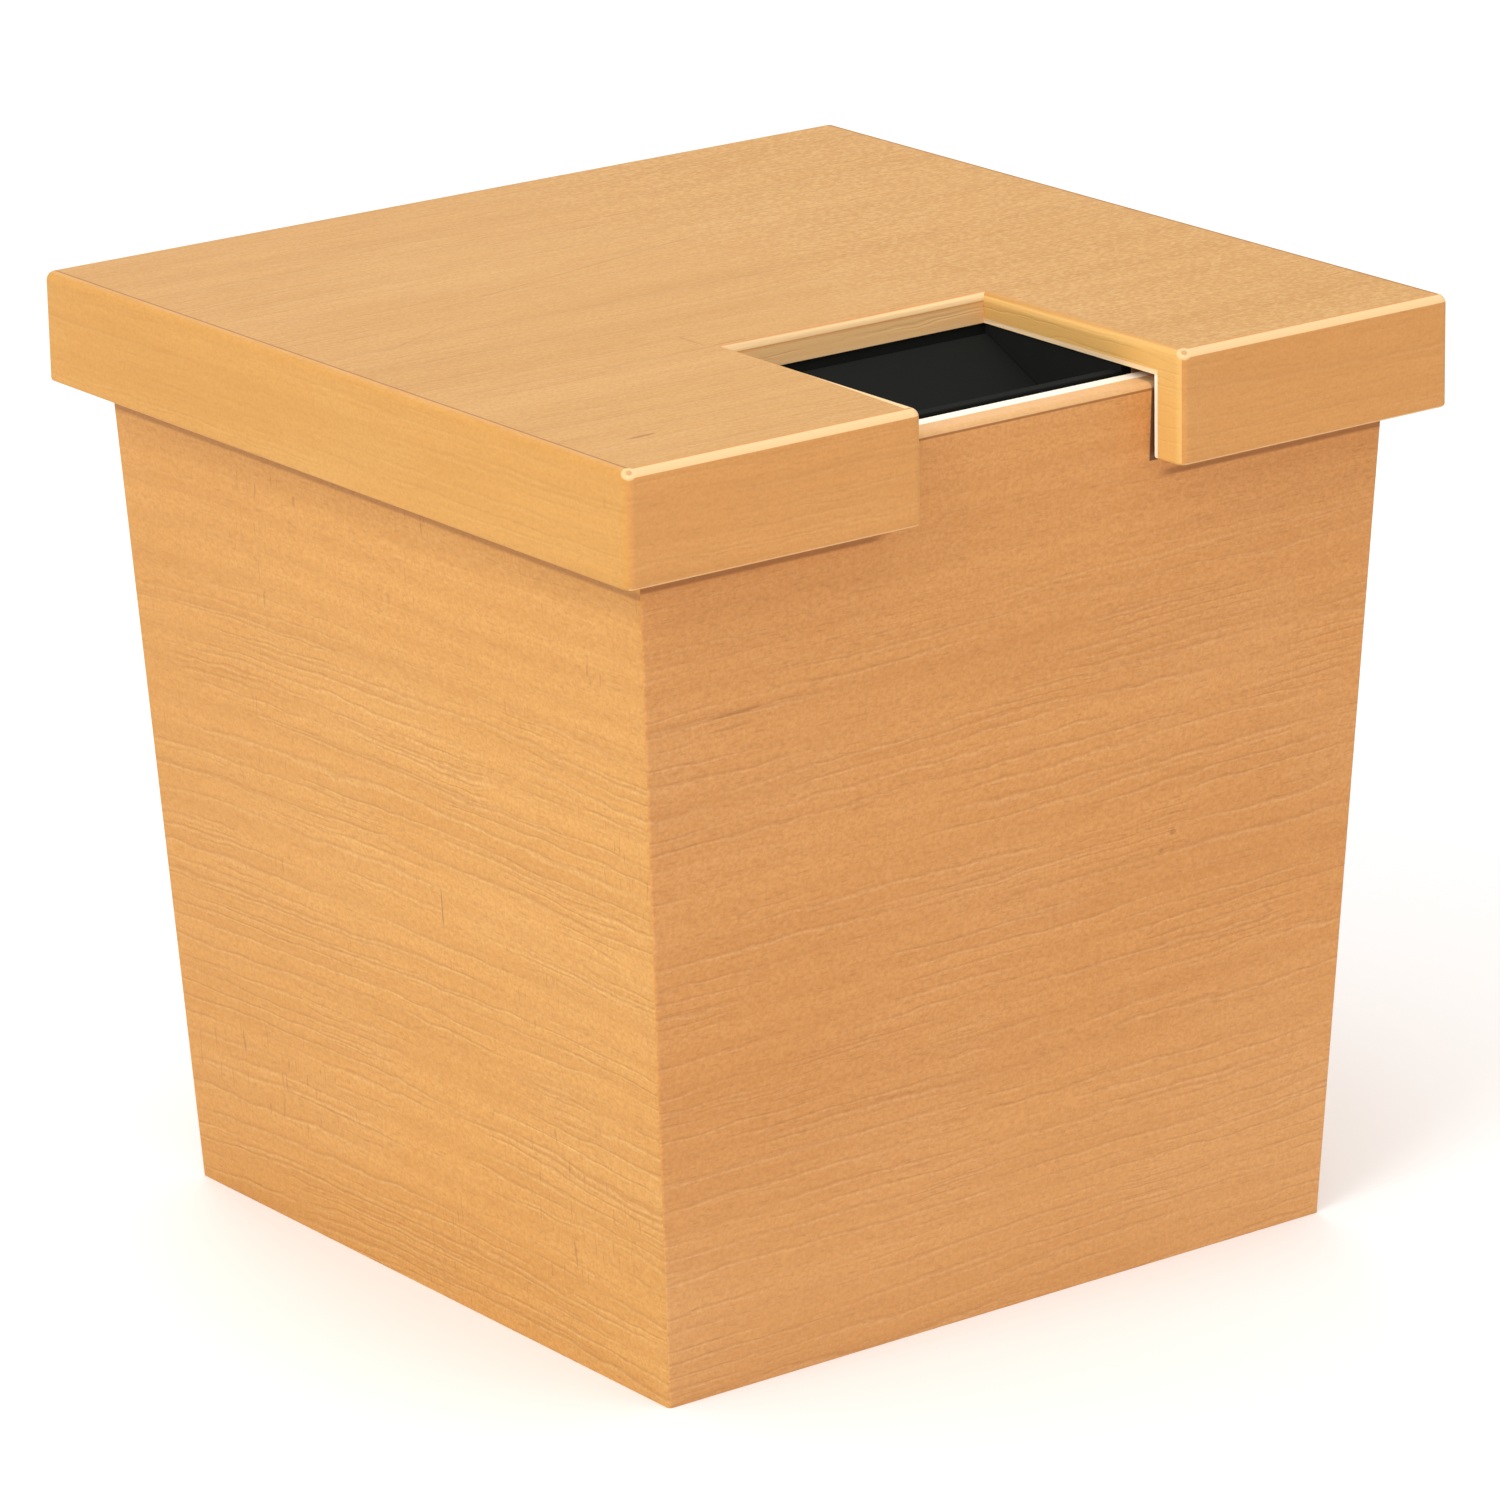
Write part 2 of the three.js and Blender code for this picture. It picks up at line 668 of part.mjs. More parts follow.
const KEEPER_X = CAM_REACH + CAM_TO_LEG;
const KEEPER_Y = LOCK_Y - (WALL_DEPTH + LOCK_TAIL + RUNNING_GAP + CAM_THICKNESS / 2);
const LIP_TOP = LOCK_Z - CAM_WIDTH / 2 - CAM_TO_LIP;
const KEEPER_SCREW_PLACES = KEEPER_SCREW_SHARES.map((share) => {
  const x = KEEPER_X + KEEPER_FLANGE * share;
  return screwPlace([x, KEEPER_Y, BOARD_UNDERSIDE - KEEPER_THICKNESS], [0, 0, -1]);
});

// A bent strip: a flange under the lid board, a leg, and a lip that passes below the cam.
function keeperStrip() {
  const t = KEEPER_THICKNESS;
  const top = BOARD_UNDERSIDE;
  const outline = [
    point(KEEPER_X - KEEPER_LIP, LIP_TOP - t),
    point(KEEPER_X + t, LIP_TOP - t),
    point(KEEPER_X + t, top - t),
    point(KEEPER_X + KEEPER_FLANGE, top - t),
    point(KEEPER_X + KEEPER_FLANGE, top),
    point(KEEPER_X, top),
    point(KEEPER_X, LIP_TOP),
    point(KEEPER_X - KEEPER_LIP, LIP_TOP),
  ];
  const settings = { depth: KEEPER_WIDTH, bevelEnabled: false };
  const strip = new THREE.ExtrudeGeometry(new THREE.Shape(outline), settings);
  return strip.rotateX(QUARTER).translate(0, KEEPER_Y + KEEPER_WIDTH / 2, 0);
}

function buildKeeper() {
  const group = new THREE.Group();
  const holes = holesAt(KEEPER_SCREW_LENGTH, KEEPER_SCREW_PLACES);
  group.add(piece("lock_keeper", cut(keeperStrip(), holes), "steel"));
  KEEPER_SCREW_PLACES.forEach((place, i) => {
    group.add(placedScrew(`keeper_screw_${i + 1}`, KEEPER_SCREW_LENGTH, place, "steel"));
  });
  return group;
}

function buildLid() {
  const group = new THREE.Group();
  const holes = holesAt(KEEPER_SCREW_LENGTH, KEEPER_SCREW_PLACES);
  group.add(piece("lid_board", cut(lidBoard(), holes), "wood"));
  group.add(buildSkirt(), buildChute(), buildKeeper());
  return group;
}

// ---------------------------------------------------------------- assembly

const donationBox = new THREE.Group();
donationBox.add(buildWalls(), buildBase(), buildRestPads(), buildLock(), buildLid());

export default donationBox;
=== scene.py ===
"""A donation box in honey-coloured beech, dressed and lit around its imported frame.

Metres, +Z up, the notched front towards -Y. Every CAD piece is copied into a mesh with joined
facets and smooth normals, which rides on the same body and takes a procedural material. The
beech pieces keep the roundings that they have; the others get their edges eased.
"""

import json
import math

import bmesh
import bpy
from mathutils import Matrix, Vector

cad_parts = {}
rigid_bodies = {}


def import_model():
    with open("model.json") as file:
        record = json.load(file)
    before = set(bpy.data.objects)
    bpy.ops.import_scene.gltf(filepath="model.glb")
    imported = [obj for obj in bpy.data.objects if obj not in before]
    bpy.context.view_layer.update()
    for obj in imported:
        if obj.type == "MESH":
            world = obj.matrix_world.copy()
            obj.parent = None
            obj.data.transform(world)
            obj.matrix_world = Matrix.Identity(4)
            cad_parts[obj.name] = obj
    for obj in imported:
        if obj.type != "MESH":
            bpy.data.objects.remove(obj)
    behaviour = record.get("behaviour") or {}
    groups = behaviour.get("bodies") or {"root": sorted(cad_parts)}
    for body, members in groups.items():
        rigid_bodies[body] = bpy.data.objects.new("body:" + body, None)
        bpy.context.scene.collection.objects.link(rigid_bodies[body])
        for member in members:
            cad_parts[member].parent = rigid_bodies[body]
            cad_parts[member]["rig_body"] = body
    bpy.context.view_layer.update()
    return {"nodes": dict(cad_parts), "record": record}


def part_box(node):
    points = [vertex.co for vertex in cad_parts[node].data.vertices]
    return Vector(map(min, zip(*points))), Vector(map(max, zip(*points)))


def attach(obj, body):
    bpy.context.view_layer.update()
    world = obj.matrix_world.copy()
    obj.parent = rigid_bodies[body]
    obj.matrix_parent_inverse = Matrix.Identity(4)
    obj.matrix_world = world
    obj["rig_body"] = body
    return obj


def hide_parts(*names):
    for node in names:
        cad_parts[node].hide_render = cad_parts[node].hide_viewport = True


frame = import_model()

MM = 0.001


# ---------------------------------------------------------------- places, from the frame

BOARD_LOW, BOARD_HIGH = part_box("lid_board")
RAIL_LOW, RAIL_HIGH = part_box("lid_rail_front_left")
WALL_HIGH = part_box("wall_front")[1]
CHUTE_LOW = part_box("chute_plate_rear")[0]

LID_HALF = BOARD_HIGH.x
LID_TOP = BOARD_HIGH.z
BOARD_UNDERSIDE = BOARD_LOW.z
NOTCH_HALF = -RAIL_HIGH.x
SKIRT_INNER = -RAIL_HIGH.y
PLATE_SETBACK = 1 * MM
NOTCH_BACK = CHUTE_LOW.y - PLATE_SETBACK
BODY_TOP_HALF = WALL_HIGH.x
BODY_HEIGHT = WALL_HIGH.z


# ---------------------------------------------------------------- camera


def add_camera():
    """A long lens from the front left, a little above the lid."""
    azimuth = math.radians(36.5)
    elevation = math.radians(17.61)
    roll = math.radians(1.126)
    distance = 2.3237
    aim = Vector((0.0007, -0.0010, 0.1441))
    towards = Vector((-math.sin(azimuth), -math.cos(azimuth), 0)) * math.cos(elevation)
    towards.z = math.sin(elevation)
    data = bpy.data.cameras.new("camera")
    data.lens = 183.45
    data.sensor_width = 36
    camera = bpy.data.objects.new("camera", data)
    turn = towards.to_track_quat("Z", "Y").to_matrix().to_4x4()
    tilt = Matrix.Rotation(-roll, 4, "Z")
    camera.matrix_world = Matrix.Translation(aim + towards * distance) @ turn @ tilt
    bpy.context.scene.collection.objects.link(camera)
    bpy.context.scene.camera = camera


# ---------------------------------------------------------------- shader building


MIX_A = 6
MIX_B = 7
MIX_RESULT = 2


class Shader:
    """A material's node tree, with one short call for each kind of node."""

    def __init__(self, name):
        self.material = bpy.data.materials.new(name)
        self.material.use_nodes = True
        self.tree = self.material.node_tree
        self.surface = self.tree.nodes["Principled BSDF"]
        self.place = self.node("ShaderNodeTexCoord").outputs["Object"]
        self.normal = self.node("ShaderNodeTexCoord").outputs["Normal"]

    def node(self, kind, **settings):
        made = self.tree.nodes.new(kind)
        for setting, value in settings.items():
            setattr(made, setting, value)
        return made

    def feed(self, socket, value):
        if isinstance(value, bpy.types.NodeSocket):
            self.tree.links.new(value, socket)
        else:
            socket.default_value = value

    def math(self, operation, a, b=0.0):
        made = self.node("ShaderNodeMath", operation=operation)
        self.feed(made.inputs[0], a)
        self.feed(made.inputs[1], b)
        return made.outputs[0]

    def dot(self, vector, direction):
        made = self.node("ShaderNodeVectorMath", operation="DOT_PRODUCT")
        self.feed(made.inputs[0], vector)
        made.inputs[1].default_value = direction
        return made.outputs["Value"]

    def combine(self, x, y, z):
        made = self.node("ShaderNodeCombineXYZ")
        for socket, value in zip(made.inputs, (x, y, z)):
            self.feed(socket, value)
        return made.outputs[0]

    def scaled(self, vector, factors):
        made = self.node("ShaderNodeVectorMath", operation="MULTIPLY")
        self.feed(made.inputs[0], vector)
        made.inputs[1].default_value = factors
        return made.outputs["Vector"]

    def noise(self, vector, detail=2.0, roughness=0.5, distortion=0.0):
        made = self.node("ShaderNodeTexNoise")
        self.feed(made.inputs["Vector"], vector)
        made.inputs["Scale"].default_value = 1.0
        made.inputs["Detail"].default_value = detail
        made.inputs["Roughness"].default_value = roughness
        made.inputs["Distortion"].default_value = distortion
        return made.outputs["Fac"]

    def fade(self, value, low, high, start=0.0, end=1.0):
        """A smooth step from start to end as value goes from low to high."""
        made = self.node("ShaderNodeMapRange", interpolation_type="SMOOTHSTEP")
        self.feed(made.inputs["Value"], value)
        for name, number in (("From Min", low), ("From Max", high), ("To Min", start), ("To Max", end)):
            made.inputs[name].default_value = number
        return made.outputs["Result"]

    def mix(self, factor, a, b, blend="MIX"):
        made = self.node("ShaderNodeMix", data_type="RGBA", blend_type=blend)
        self.feed(made.inputs["Factor"], factor)
        for socket, value in ((made.inputs[MIX_A], a), (made.inputs[MIX_B], b)):
            self.feed(socket, (*value, 1.0) if isinstance(value, tuple) else value)
        return made.outputs[MIX_RESULT]

    def bump(self, height, strength, distance):
        made = self.node("ShaderNodeBump")
        self.feed(made.inputs["Height"], height)
        made.inputs["Strength"].default_value = strength
        made.inputs["Distance"].default_value = distance
        self.feed(self.surface.inputs["Normal"], made.outputs[0])

    def set(self, **values):
        for name, value in values.items():
            self.feed(self.surface.inputs[name.replace("_", " ")], value)


# ---------------------------------------------------------------- wood

X_AXIS = (1.0, 0.0, 0.0)
Y_AXIS = (0.0, 1.0, 0.0)
Z_AXIS = (0.0, 0.0, 1.0)

HONEY = (0.690, 0.338, 0.098)
HONEY_DARK = (0.470, 0.195, 0.048)
HONEY_PALE = (0.820, 0.520, 0.230)
CORNER_SHADE_HONEY = (0.640, 0.290, 0.060)
# White for the painted highlights round the notch's opening.
HIGHLIGHT_WHITE = (0.97, 0.89, 0.75)
CHEEK = (0.850, 0.515, 0.165)
# Painted light for the notch's shaded rear face.
NOTCH_REAR_PAINTED_LIGHT = (0.990, 0.600, 0.260)
# A pale wood for edges: partly bare worn wood, partly painted highlight.
PALE_WEAR_AND_HIGHLIGHT = (0.860, 0.590, 0.300)
# Brown for stains, marks and fine dark lines, and for the painted shadow lines under the skirt.
STAIN_AND_SHADOW = (0.270, 0.100, 0.028)
SHADOW = (0.110, 0.042, 0.016)

# Tints by the way a face looks, which stand in for how the light falls on it: painted light and shade. The
# front and rear walls and the lid's fronts are redder, the sides yellower, and the lid's top greyer for a
# painted sheen.
FRONT_TINT = (0.995, 0.935, 1.0)
LEFT_TINT = (0.98, 1.005, 0.93)
TOP_SHEEN_TINT = (0.888, 0.953, 0.912)
LID_SIDE_TINT = (0.92, 0.95, 0.81)
LID_FRONT_TINT = (0.965, 0.925, 0.96)


SEED_STEPS = (0.731, 0.417, 0.293)


def grain_place(shader, grain, across, seed):
    """Coordinates along the grain, across it and into the board, moved to a place of their own."""
    depth = Vector(grain).cross(Vector(across))
    along = shader.dot(shader.place, grain)
    side = shader.dot(shader.place, across)
    inward = shader.dot(shader.place, tuple(depth))
    moved = []
    for value, step in zip((along, side, inward), SEED_STEPS):
        moved.append(shader.math("ADD", value, seed * step))
    return shader.combine(*moved), along, side


def line_course(shader, place, along, side, figure):
    """The distance across the grain, bent so that growth lines wander, crowd and part."""
    slow = shader.noise(shader.scaled(place, (3.2, 13.0, 9.0)), detail=1.0)
    quick = shader.noise(shader.scaled(place, (14.0, 60.0, 30.0)), detail=3.0, roughness=0.6)
    shiver = shader.noise(shader.scaled(place, (85.0, 190.0, 90.0)), detail=1.0)
    course = side
    for noise, reach in ((slow, "wander"), (quick, "ripple"), (shiver, "shiver")):
        shift = shader.math("MULTIPLY", shader.math("SUBTRACT", noise, 0.5), figure[reach])
        course = shader.math("ADD", course, shift)
    from_peak = shader.math("SUBTRACT", along, figure["peak"])
    curve = shader.math("MULTIPLY", shader.math("MULTIPLY", from_peak, from_peak), figure["bow"])
    slope = shader.math("MULTIPLY", along, figure["rise"])
    return shader.math("ADD", course, shader.math("ADD", curve, slope))


def ring_wave(shader, distance, spacing, sharpness):
    """0 to 1, once in each spacing; a higher sharpness makes a thinner line."""
    turns = shader.math("MULTIPLY", distance, math.tau / spacing)
    wave = shader.math("ADD", shader.math("MULTIPLY", shader.math("SINE", turns), 0.5), 0.5)
    return shader.math("POWER", wave, sharpness)


# Each set of lines: its share of the spacing, how its gaps stretch, and the least noise it shows at.
LINE_SETS = (
    (1.0, (11.0, 85.0, 60.0), 0.44),
    (1.63, (8.0, 55.0, 40.0), 0.46),
    (0.61, (15.0, 42.0, 50.0), 0.52),
)
LINE_SHARPNESS = 22.0
BREAK_SOFTNESS = 0.16
PALE_SHIFT = 0.75 * MM
BAND_SHARE = 2.3
BAND_SHARPNESS = 1.3
CALM_LINES = 0.25


def growth_lines(shader, place, along, side, figure):
    """Soft bands, and sets of broken fine lines: each line is dark, with a pale one beside it."""
    course = line_course(shader, place, along, side, figure)
    beside = shader.math("ADD", course, PALE_SHIFT)
    calm = shader.fade(side, *figure["calm"], 1.0, CALM_LINES)
    dark = 0.0
    pale = 0.0
    for share, stretch, least in LINE_SETS:
        spacing = figure["spacing"] * share
        gaps = shader.noise(shader.scaled(place, stretch), detail=2.0)
        broken = shader.math("MULTIPLY", shader.fade(gaps, least, least + BREAK_SOFTNESS), calm)
        line = ring_wave(shader, course, spacing, LINE_SHARPNESS)
        companion = ring_wave(shader, beside, spacing, LINE_SHARPNESS)
        dark = shader.math("MAXIMUM", shader.math("MULTIPLY", line, broken), dark)
        pale = shader.math("MAXIMUM", shader.math("MULTIPLY", companion, broken), pale)
    bands = ring_wave(shader, course, BAND_SHARE * figure["spacing"], BAND_SHARPNESS)
    return bands, dark, pale


def mark(shader, along, side, centre, half_size, angle):
    """A small soft stain, placed and turned in the face's own coordinates."""
    flat = shader.combine(along, side, 0.0)
    turn = math.radians(angle)
    length_way = Vector((math.cos(turn), math.sin(turn), 0.0))
    width_way = Vector((-math.sin(turn), math.cos(turn), 0.0))
    middle = Vector((*centre, 0.0))
    u = shader.math("SUBTRACT", shader.dot(flat, tuple(length_way)), middle.dot(length_way))
    v = shader.math("SUBTRACT", shader.dot(flat, tuple(width_way)), middle.dot(width_way))
    u = shader.math("DIVIDE", u, half_size[0])
    v = shader.math("DIVIDE", v, half_size[1])
    squared = shader.math("ADD", shader.math("MULTIPLY", u, u), shader.math("MULTIPLY", v, v))
    return shader.fade(squared, 0.25, 1.0, 1.0, 0.0)


def tick_marks(shader, place):
    """Short dark ticks across the grain, in patches."""
    ticks = shader.noise(shader.scaled(place, (1100.0, 120.0, 90.0)), detail=0.0)
    patches = shader.noise(shader.scaled(place, (22.0, 22.0, 22.0)), detail=1.0)
    return shader.math("MULTIPLY", shader.fade(ticks, 0.74, 0.79), shader.fade(patches, 0.5, 0.62))


# The course of the growth lines, then how strongly each part of the look shows.
FIGURE = {
    "spacing": 5.0 * MM, "wander": 16 * MM, "ripple": 7.0 * MM, "shiver": 1.6 * MM,
    "bow": 0.0, "peak": 0.0, "rise": 0.0, "calm": (0.9, 1.0),
    "bands": 0.13, "lines": 0.36, "pale": 0.28, "streaks": 0.22, "ticks": 0.0,
    "grit": 0.38, "sand": 0.5, "sandy": (-1.0, -0.9), "flecks": 0.15, "relief": 0.42,
}
BLOTCH_SHADE = 0.12
FIBRE_SHADE = 0.1
SAND_SHADE = 0.16
LACQUER_ROUGHNESS = 0.42
RELIEF_DEPTH = 0.35 * MM


def wood(name, grain, across, seed, tint=(1.0, 1.0, 1.0), marks=(), layers=(), **figure):
    """Satin-lacquered beech. Each layer is a mask made with the shader, a colour and a strength."""
    shader = Shader(name)
    figure = {**FIGURE, **figure}
    light = tuple(a * b for a, b in zip(HONEY, tint))
    dark = tuple(a * b for a, b in zip(HONEY_DARK, tint))
    pale = tuple(a * b for a, b in zip(HONEY_PALE, tint))
    place, along, side = grain_place(shader, grain, across, seed)

    broad = shader.noise(shader.scaled(place, (5.0, 42.0, 20.0)), detail=3.0, roughness=0.55)
    blotch = shader.noise(shader.scaled(place, (11.0, 16.0, 16.0)), detail=2.0)
    fibres = shader.noise(shader.scaled(place, (60.0, 800.0, 800.0)), detail=1.0, roughness=0.5)
    grit = shader.noise(shader.scaled(place, (900.0, 900.0, 900.0)), detail=2.0, roughness=0.65)
    specks = shader.noise(shader.scaled(place, (230.0, 1500.0, 1500.0)), detail=0.0)
    flecks = shader.fade(specks, 0.66, 0.76)
    sandy = shader.fade(along, *figure["sandy"], 0.3, 1.0)
    grains = shader.noise(shader.scaled(place, (480.0, 700.0, 600.0)), detail=2.0)
    sand = shader.math("MULTIPLY", grains, sandy)
    sand_dark = shader.math("MULTIPLY", shader.fade(grains, 0.48, 0.66), sandy)
    sand_pale = shader.math("MULTIPLY", shader.fade(grains, 0.34, 0.52, 1.0, 0.0), sandy)
    bands, dark_lines, pale_lines = growth_lines(shader, place, along, side, figure)

    colour = shader.mix(shader.fade(broad, 0.28, 0.78, 0.0, figure["streaks"]), light, dark)
    shades = [
        (shader.fade(blotch, 0.45, 0.8), BLOTCH_SHADE, pale),
        (bands, figure["bands"], dark),
        (pale_lines, figure["pale"], pale),
        (dark_lines, figure["lines"], dark),
        (shader.fade(fibres, 0.3, 0.72), FIBRE_SHADE, dark),
        (shader.fade(grit, 0.35, 0.7), figure["grit"], dark),
        (sand_dark, SAND_SHADE * figure["sand"], dark),
        (sand_pale, SAND_SHADE * figure["sand"], pale),
        (flecks, figure["flecks"], STAIN_AND_SHADOW),
        (tick_marks(shader, place), figure["ticks"], STAIN_AND_SHADOW),
    ]
    for centre, half_size, angle, strength in marks:
        shades.append((mark(shader, along, side, centre, half_size, angle), strength, STAIN_AND_SHADOW))
    for mask, layer_colour, strength in layers:
        shades.append((mask(shader), strength, layer_colour))
    for mask, strength, shade in shades:
        if strength:
            colour = shader.mix(shader.math("MULTIPLY", mask, strength), colour, shade)

    gloss = shader.math("ADD", shader.math("MULTIPLY", fibres, 0.12), shader.math("MULTIPLY", broad, 0.10))
    grooves = shader.math("ADD", dark_lines, shader.math("MULTIPLY", flecks, 0.3))
    raised = shader.math("ADD", shader.math("MULTIPLY", fibres, 0.2), shader.math("MULTIPLY", grit, 0.35))
    raised = shader.math("ADD", raised, shader.math("MULTIPLY", sand, figure["sand"]))
    shader.bump(shader.math("SUBTRACT", raised, grooves), figure["relief"], RELIEF_DEPTH)
    shader.set(Base_Color=colour, Roughness=shader.math("ADD", gloss, LACQUER_ROUGHNESS))
    shader.set(Coat_Weight=0.04, Coat_Roughness=0.3, Specular_IOR_Level=0.17)
    return shader.material


# ---------------------------------------------------------------- masks on the wood

LID_ARRIS = 2.8 * MM
# How far in front of the skirt's inner face the painted highlight strips start.
HIGHLIGHT_STEP = 1.3 * MM
TOP_EDGE_MIDDLE = -BODY_TOP_HALF + 6.8 * MM
SOFT = 0.15 * MM


def axis(shader, direction):
    """The distance from the frame's origin along a direction."""
    return shader.dot(shader.place, direction)


def facing(shader, direction):
    """How far the surface faces a direction, -1 to 1."""
    return shader.dot(shader.normal, direction)


def above(shader, value, level, soft=SOFT):
    """1 where the value is over the level."""
    return shader.fade(value, level - soft, level + soft)


def below(shader, value, level, soft=SOFT):
    """1 where the value is under the level."""
    return shader.fade(value, level - soft, level + soft, 1.0, 0.0)


def both(shader, *masks):
    """1 where all of the masks are 1."""
    joined = masks[0]
    for other in masks[1:]:
        joined = shader.math("MULTIPLY", joined, other)
    return joined


def front_arris(shader):
    """The rounded top edges that face the front: the lid's own and the notch's rear one, painted pale as
    partly bare worn wood and partly a painted highlight.
    """
    upward = facing(shader, Z_AXIS)
    forward = facing(shader, Y_AXIS)
    high = above(shader, axis(shader, Z_AXIS), LID_TOP - LID_ARRIS)
    return both(shader, above(shader, upward, 0.24, 0.03), below(shader, upward, 0.955, 0.02),
                below(shader, forward, -0.15, 0.03), high)


def before_notch_rear(shader):
    """1 from the lid's front back to the notch's rear face."""
    return below(shader, axis(shader, Y_AXIS), NOTCH_BACK + 0.5 * MM)


def notch_left_highlight(shader):
    """A painted highlight on the lid's top along the notch's left side, wider towards the front."""
    x = axis(shader, X_AXIS)
    rear_width = 0.6 * MM
    front_width = 4.4 * MM
    widening = (front_width - rear_width) / (NOTCH_BACK + LID_HALF)
    slanted = axis(shader, (1.0, -widening, 0.0))
    outer = -NOTCH_HALF - rear_width - widening * NOTCH_BACK
    on_top = above(shader, axis(shader, Z_AXIS), LID_TOP - LID_ARRIS)
    return both(shader, above(shader, slanted, outer), below(shader, x, -NOTCH_HALF + 1 * MM),
                below(shader, axis(shader, Y_AXIS), NOTCH_BACK), on_top)


def notch_cheek(shader):
    """The notch's two sides, a lighter yellow than the lid's own."""
    x = shader.math("ABSOLUTE", axis(shader, X_AXIS))
    sideways = above(shader, shader.math("ABSOLUTE", facing(shader, X_AXIS)), 0.5, 0.2)
    beside = below(shader, x, NOTCH_HALF + 3.5 * MM, 0.5 * MM)
    return both(shader, beside, sideways, before_notch_rear(shader))


def notch_rear(shader):
    """The notch's rear face, below its rounded edge, lightened with painted light against the shade in the
    notch.
    """
    x = shader.math("ABSOLUTE", axis(shader, X_AXIS))
    behind = above(shader, axis(shader, Y_AXIS), NOTCH_BACK - 1.5 * MM)
    return both(shader, below(shader, x, NOTCH_HALF + 0.5 * MM), behind, before_notch_rear(shader),
                below(shader, axis(shader, Z_AXIS), LID_TOP - LID_ARRIS, 0.5 * MM))


def near(shader, centre, radius):
    """1 within a radius of a point."""
    made = shader.node("ShaderNodeVectorMath", operation="DISTANCE")
    shader.feed(made.inputs[0], shader.place)
    made.inputs[1].default_value = centre
    return below(shader, made.outputs["Value"], radius, 0.25 * MM)


def corner_spots(radius):
    """Spots on two of the lid's front corners, at its rounded top edge; the wide pale one is a painted
    highlight, the small dark one a dot within it.
    """
    inset = 2.2 * MM
    depth = -LID_HALF + 1.4 * MM
    height = LID_TOP - 1 * MM
    corners = [(-LID_HALF + inset, depth, height), (NOTCH_HALF + inset, depth, height)]

    def mask(shader):
        return shader.math("MAXIMUM", *[near(shader, corner, radius) for corner in corners])

    return mask


def notch_lower_highlight(shader):
    """A painted highlight on the lower edge of the lid board, all round the notch."""
    x = shader.math("ABSOLUTE", axis(shader, X_AXIS))
    z = axis(shader, Z_AXIS)
    inside = both(shader, below(shader, x, NOTCH_HALF + 0.6 * MM), before_notch_rear(shader))
    behind = above(shader, axis(shader, Y_AXIS), -SKIRT_INNER - HIGHLIGHT_STEP)
    low = both(shader, above(shader, z, BOARD_UNDERSIDE - 0.2 * MM),
               below(shader, z, BOARD_UNDERSIDE + 1.4 * MM))
    return both(shader, inside, behind, low)


def cheek_highlight(shader):
    """A painted highlight on the inner edge of a front rail's cut end."""
    x = shader.math("ABSOLUTE", axis(shader, X_AXIS))
    cut_end = below(shader, x, NOTCH_HALF + 0.4 * MM)
    inner = above(shader, axis(shader, Y_AXIS), -SKIRT_INNER - HIGHLIGHT_STEP)
    low = below(shader, axis(shader, Z_AXIS), BOARD_UNDERSIDE)
    return both(shader, cut_end, inner, low, before_notch_rear(shader))


def lid_corner(shader):
    """The rounded upright corners, given a painted shade deeper than the faces beside them."""
    across = shader.math("ABSOLUTE", facing(shader, X_AXIS))
    forward = shader.math("ABSOLUTE", facing(shader, Y_AXIS))
    return both(shader, above(shader, across, 0.2, 0.05), above(shader, forward, 0.2, 0.05))


def skirt_edge(shader):
    """The pale lower edge of the skirt."""
    return below(shader, axis(shader, Z_AXIS), RAIL_LOW.z + 0.6 * MM)


def outside(shader):
    """1 on the outer half of the walls' thickness, near their top."""
    x = shader.math("ABSOLUTE", axis(shader, X_AXIS))
    y = shader.math("ABSOLUTE", axis(shader, Y_AXIS))
    return above(shader, shader.math("MAXIMUM", x, y), BODY_TOP_HALF - 6 * MM)


def skirt_shadow_line(drop):
    """A painted shadow line on a wall, a drop below the skirt's edge."""

    def mask(shader):
        z = axis(shader, Z_AXIS)
        over = above(shader, z, RAIL_LOW.z - drop - 0.9 * MM, 0.5 * MM)
        under = below(shader, z, RAIL_LOW.z - drop + 1.2 * MM, 1 * MM)
        return both(shader, over, under, outside(shader))

    return mask


# How far below the skirt's edge the painted shadow lines fall on the front and side walls.
FRONT_SHADOW_DROP = 5.6 * MM
SIDE_SHADOW_DROP = 7.5 * MM


def front_skirt_shadow_line(shader):
    """The same painted shadow line on the front wall, which stops short of the notch."""
    x = shader.math("ABSOLUTE", axis(shader, X_AXIS))
    beside_notch = above(shader, x, NOTCH_HALF + 5 * MM, 4 * MM)
    return both(shader, skirt_shadow_line(FRONT_SHADOW_DROP)(shader), beside_notch)


def wall_top_highlight(shader):
    """A painted highlight on the inner half of the front wall's top edge."""
    top = above(shader, axis(shader, Z_AXIS), BODY_HEIGHT - 0.5 * MM)
    return both(shader, top, above(shader, axis(shader, Y_AXIS), TOP_EDGE_MIDDLE))


def wall_top_arris(shader):
    """The outer half of the front wall's top edge, paler than its face."""
    z = axis(shader, Z_AXIS)
    outer = below(shader, axis(shader, Y_AXIS), TOP_EDGE_MIDDLE)
    return both(shader, above(shader, z, BODY_HEIGHT - 1.6 * MM), outer)


def foot(shader):
    """The lowest third of a wall, a shade paler: painted light from the floor."""
    return shader.fade(axis(shader, Z_AXIS), 10 * MM, 110 * MM, 1.0, 0.0)


def rearward(shader):
    """The rear half of a side wall, given a painted shade deeper."""
    return shader.fade(axis(shader, Y_AXIS), -40 * MM, 120 * MM)


